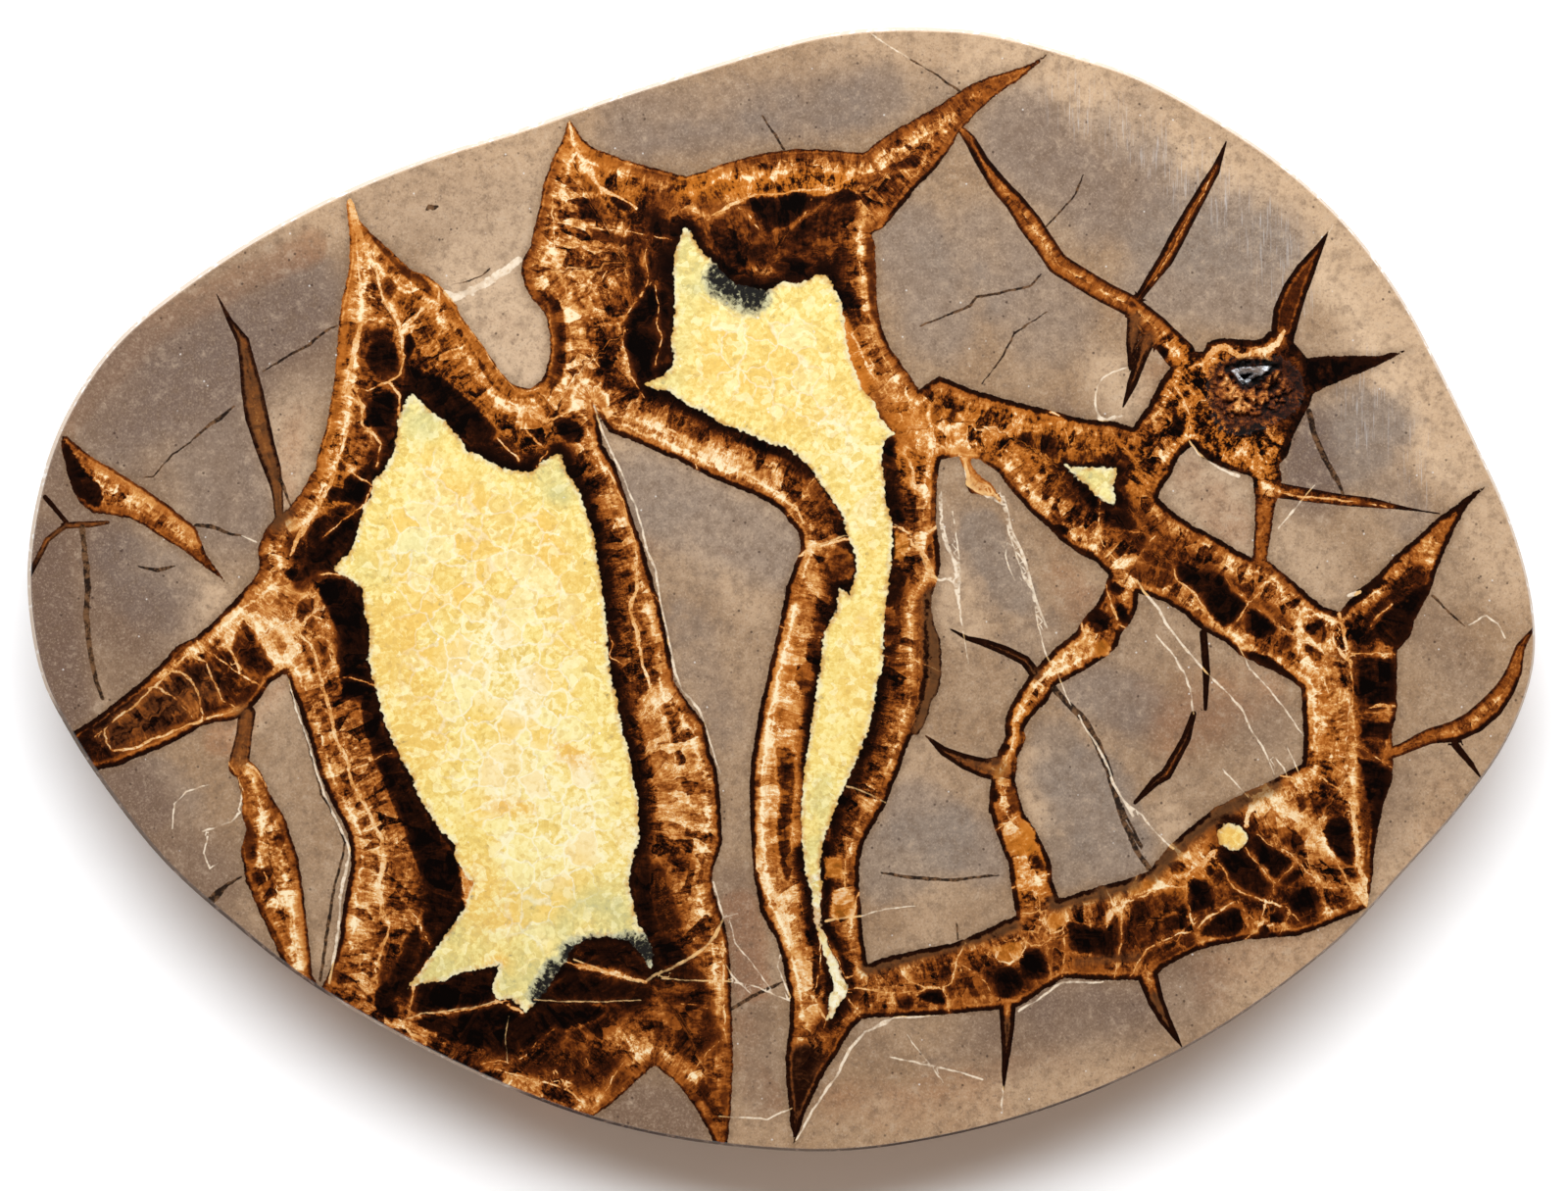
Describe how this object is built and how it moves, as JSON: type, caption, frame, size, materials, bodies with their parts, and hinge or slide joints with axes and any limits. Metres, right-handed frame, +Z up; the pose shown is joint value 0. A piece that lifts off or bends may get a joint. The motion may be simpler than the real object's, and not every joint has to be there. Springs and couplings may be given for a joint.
{
  "type": "polished septarian nodule slab",
  "caption": "Flat polished slab of a septarian nodule: grey-brown rock crossed by brown and yellow calcite veins, with a small crystal-lined hole through it.",
  "frame": {"origin": "middle of the slab's footprint, on its flat sawn back", "axes": "+X along the slab's length, +Y across its width, +Z up out of the polished face"},
  "size_m": [0.1544, 0.1152, 0.0095],
  "materials": {
    "septarian_stone": "polished face, ground rim and sawn back: grey-brown mudstone, brown fibrous calcite veins and pale yellow calcite"
  },
  "bodies": {
    "root": {"septarian_slab": "septarian_stone"}
  },
  "joints": []
}
